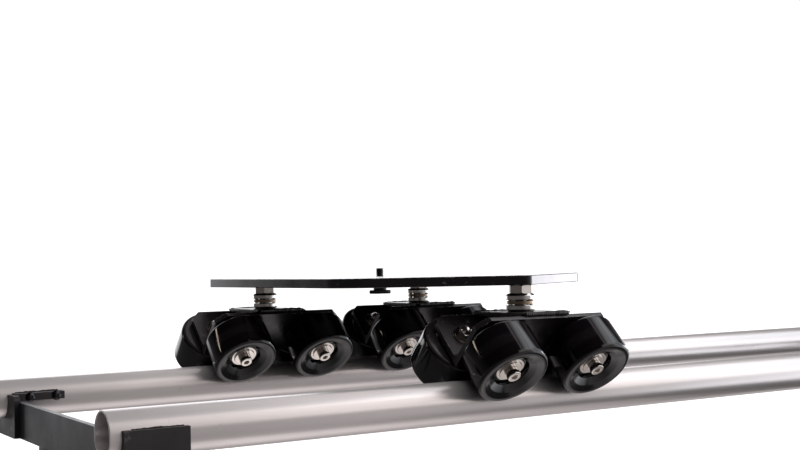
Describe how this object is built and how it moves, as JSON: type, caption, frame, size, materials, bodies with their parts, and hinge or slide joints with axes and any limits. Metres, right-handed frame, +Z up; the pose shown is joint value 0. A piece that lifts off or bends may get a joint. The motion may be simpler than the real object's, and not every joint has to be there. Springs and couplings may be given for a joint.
{
  "type": "camera slider",
  "caption": "Pipe-track camera slider: a flat deck on swivelling trucks with angled wheels that roll along two round rails on low legs.",
  "frame": {"origin": "on the floor under the middle of the track", "axes": "+X along the rails, +Y from the front rail to the back rail, +Z up"},
  "size_m": [1.5, 0.5332, 0.2635],
  "materials": {
    "rail": "satin anodised",
    "frame_steel": "dark powder coat",
    "bracket_steel": "black powder coat",
    "screw_black": "black oxide",
    "foot_rubber": "matte",
    "deck": "black, satin",
    "stud_steel": "turned",
    "nut_steel": "zinc plated",
    "race_steel": "ground",
    "cage": "pressed",
    "knob": "black",
    "truck_steel": "black paint over welds",
    "axle_steel": "bright plated",
    "urethane": "glossy black",
    "bearing_steel": "ground"
  },
  "bodies": {
    "track": {"front_rail": "rail", "back_rail": "rail", "left_crossbar": "frame_steel", "right_crossbar": "frame_steel", "rail_brackets": "bracket_steel", "track_screws": "screw_black", "track_legs": "frame_steel", "rubber_feet": "foot_rubber"},
    "carriage": {"deck_plate": "deck", "pivot_studs": "stud_steel", "jam_nuts": "nut_steel", "thrust_top_races": "race_steel", "thrust_ball_cages": "cage", "pivot_lock_nuts": "nut_steel"},
    "camera_screw": {"camera_screw": "knob"},
    "front_truck": {"front_truck_angle": "truck_steel", "front_truck_top_plate": "truck_steel", "front_thrust_lower_race": "race_steel", "front_axle_bolts": "axle_steel", "front_axle_nuts": "axle_steel", "front_axle_washers": "axle_steel", "front_axle_sleeves": "bearing_steel"},
    "front_near_left_wheel": {"front_near_left_tyre": "urethane", "front_near_left_bearings": "bearing_steel"},
    "front_near_right_wheel": {"front_near_right_tyre": "urethane", "front_near_right_bearings": "bearing_steel"},
    "front_far_left_wheel": {"front_far_left_tyre": "urethane", "front_far_left_bearings": "bearing_steel"},
    "front_far_right_wheel": {"front_far_right_tyre": "urethane", "front_far_right_bearings": "bearing_steel"},
    "left_truck": {"left_truck_angle": "truck_steel", "left_truck_top_plate": "truck_steel", "left_thrust_lower_race": "race_steel", "left_axle_bolts": "axle_steel", "left_axle_nuts": "axle_steel", "left_axle_washers": "axle_steel", "left_axle_sleeves": "bearing_steel"},
    "left_near_left_wheel": {"left_near_left_tyre": "urethane", "left_near_left_bearings": "bearing_steel"},
    "left_near_right_wheel": {"left_near_right_tyre": "urethane", "left_near_right_bearings": "bearing_steel"},
    "left_far_left_wheel": {"left_far_left_tyre": "urethane", "left_far_left_bearings": "bearing_steel"},
    "left_far_right_wheel": {"left_far_right_tyre": "urethane", "left_far_right_bearings": "bearing_steel"},
    "right_truck": {"right_truck_angle": "truck_steel", "right_truck_top_plate": "truck_steel", "right_thrust_lower_race": "race_steel", "right_axle_bolts": "axle_steel", "right_axle_nuts": "axle_steel", "right_axle_washers": "axle_steel", "right_axle_sleeves": "bearing_steel"},
    "right_near_left_wheel": {"right_near_left_tyre": "urethane", "right_near_left_bearings": "bearing_steel"},
    "right_near_right_wheel": {"right_near_right_tyre": "urethane", "right_near_right_bearings": "bearing_steel"},
    "right_far_left_wheel": {"right_far_left_tyre": "urethane", "right_far_left_bearings": "bearing_steel"},
    "right_far_right_wheel": {"right_far_right_tyre": "urethane", "right_far_right_bearings": "bearing_steel"}
  },
  "joints": [
    {"name": "carriage_slide", "type": "slide", "parent": "track", "child": "carriage", "axis": [1, 0, 0], "range_m": [-0.16, 0.78]},
    {"name": "camera_screw_turn", "type": "hinge", "parent": "carriage", "child": "camera_screw", "pos_m": [-0.31, 0.096, 0.24], "axis": [0, 0, 1], "continuous": true},
    {"name": "front_truck_swivel", "type": "hinge", "parent": "carriage", "child": "front_truck", "pos_m": [-0.31, -0.185, 0.22], "axis": [0, 0, 1], "range_deg": [-0.4, 0.4]},
    {"name": "front_near_left_wheel_spin", "type": "hinge", "parent": "front_truck", "child": "front_near_left_wheel", "pos_m": [-0.362, -0.22676, 0.17175], "axis": [0, -0.7071, -0.7071], "continuous": true},
    {"name": "front_near_right_wheel_spin", "type": "hinge", "parent": "front_truck", "child": "front_near_right_wheel", "pos_m": [-0.258, -0.22676, 0.17175], "axis": [0, -0.7071, -0.7071], "continuous": true},
    {"name": "front_far_left_wheel_spin", "type": "hinge", "parent": "front_truck", "child": "front_far_left_wheel", "pos_m": [-0.369, -0.14325, 0.17175], "axis": [0, 0.7071, -0.7071], "continuous": true},
    {"name": "front_far_right_wheel_spin", "type": "hinge", "parent": "front_truck", "child": "front_far_right_wheel", "pos_m": [-0.265, -0.14325, 0.17175], "axis": [0, 0.7071, -0.7071], "continuous": true},
    {"name": "left_truck_swivel", "type": "hinge", "parent": "carriage", "child": "left_truck", "pos_m": [-0.422, 0.185, 0.22], "axis": [0, 0, 1], "range_deg": [-0.4, 0.4]},
    {"name": "left_near_left_wheel_spin", "type": "hinge", "parent": "left_truck", "child": "left_near_left_wheel", "pos_m": [-0.474, 0.14325, 0.17175], "axis": [0, -0.7071, -0.7071], "continuous": true},
    {"name": "left_near_right_wheel_spin", "type": "hinge", "parent": "left_truck", "child": "left_near_right_wheel", "pos_m": [-0.37, 0.14325, 0.17175], "axis": [0, -0.7071, -0.7071], "continuous": true},
    {"name": "left_far_left_wheel_spin", "type": "hinge", "parent": "left_truck", "child": "left_far_left_wheel", "pos_m": [-0.481, 0.22676, 0.17175], "axis": [0, 0.7071, -0.7071], "continuous": true},
    {"name": "left_far_right_wheel_spin", "type": "hinge", "parent": "left_truck", "child": "left_far_right_wheel", "pos_m": [-0.377, 0.22676, 0.17175], "axis": [0, 0.7071, -0.7071], "continuous": true},
    {"name": "right_truck_swivel", "type": "hinge", "parent": "carriage", "child": "right_truck", "pos_m": [-0.198, 0.185, 0.22], "axis": [0, 0, 1], "range_deg": [-0.4, 0.4]},
    {"name": "right_near_left_wheel_spin", "type": "hinge", "parent": "right_truck", "child": "right_near_left_wheel", "pos_m": [-0.25, 0.14325, 0.17175], "axis": [0, -0.7071, -0.7071], "continuous": true},
    {"name": "right_near_right_wheel_spin", "type": "hinge", "parent": "right_truck", "child": "right_near_right_wheel", "pos_m": [-0.146, 0.14325, 0.17175], "axis": [0, -0.7071, -0.7071], "continuous": true},
    {"name": "right_far_left_wheel_spin", "type": "hinge", "parent": "right_truck", "child": "right_far_left_wheel", "pos_m": [-0.257, 0.22676, 0.17175], "axis": [0, 0.7071, -0.7071], "continuous": true},
    {"name": "right_far_right_wheel_spin", "type": "hinge", "parent": "right_truck", "child": "right_far_right_wheel", "pos_m": [-0.153, 0.22676, 0.17175], "axis": [0, 0.7071, -0.7071], "continuous": true}
  ],
  "couplings": [
    {"joint": "front_near_left_wheel_spin", "follows": "carriage_slide", "rad_per_m": -26.667},
    {"joint": "front_near_right_wheel_spin", "follows": "carriage_slide", "rad_per_m": -26.667},
    {"joint": "front_far_left_wheel_spin", "follows": "carriage_slide", "rad_per_m": 26.667},
    {"joint": "front_far_right_wheel_spin", "follows": "carriage_slide", "rad_per_m": 26.667},
    {"joint": "left_near_left_wheel_spin", "follows": "carriage_slide", "rad_per_m": -26.667},
    {"joint": "left_near_right_wheel_spin", "follows": "carriage_slide", "rad_per_m": -26.667},
    {"joint": "left_far_left_wheel_spin", "follows": "carriage_slide", "rad_per_m": 26.667},
    {"joint": "left_far_right_wheel_spin", "follows": "carriage_slide", "rad_per_m": 26.667},
    {"joint": "right_near_left_wheel_spin", "follows": "carriage_slide", "rad_per_m": -26.667},
    {"joint": "right_near_right_wheel_spin", "follows": "carriage_slide", "rad_per_m": -26.667},
    {"joint": "right_far_left_wheel_spin", "follows": "carriage_slide", "rad_per_m": 26.667},
    {"joint": "right_far_right_wheel_spin", "follows": "carriage_slide", "rad_per_m": 26.667}
  ]
}
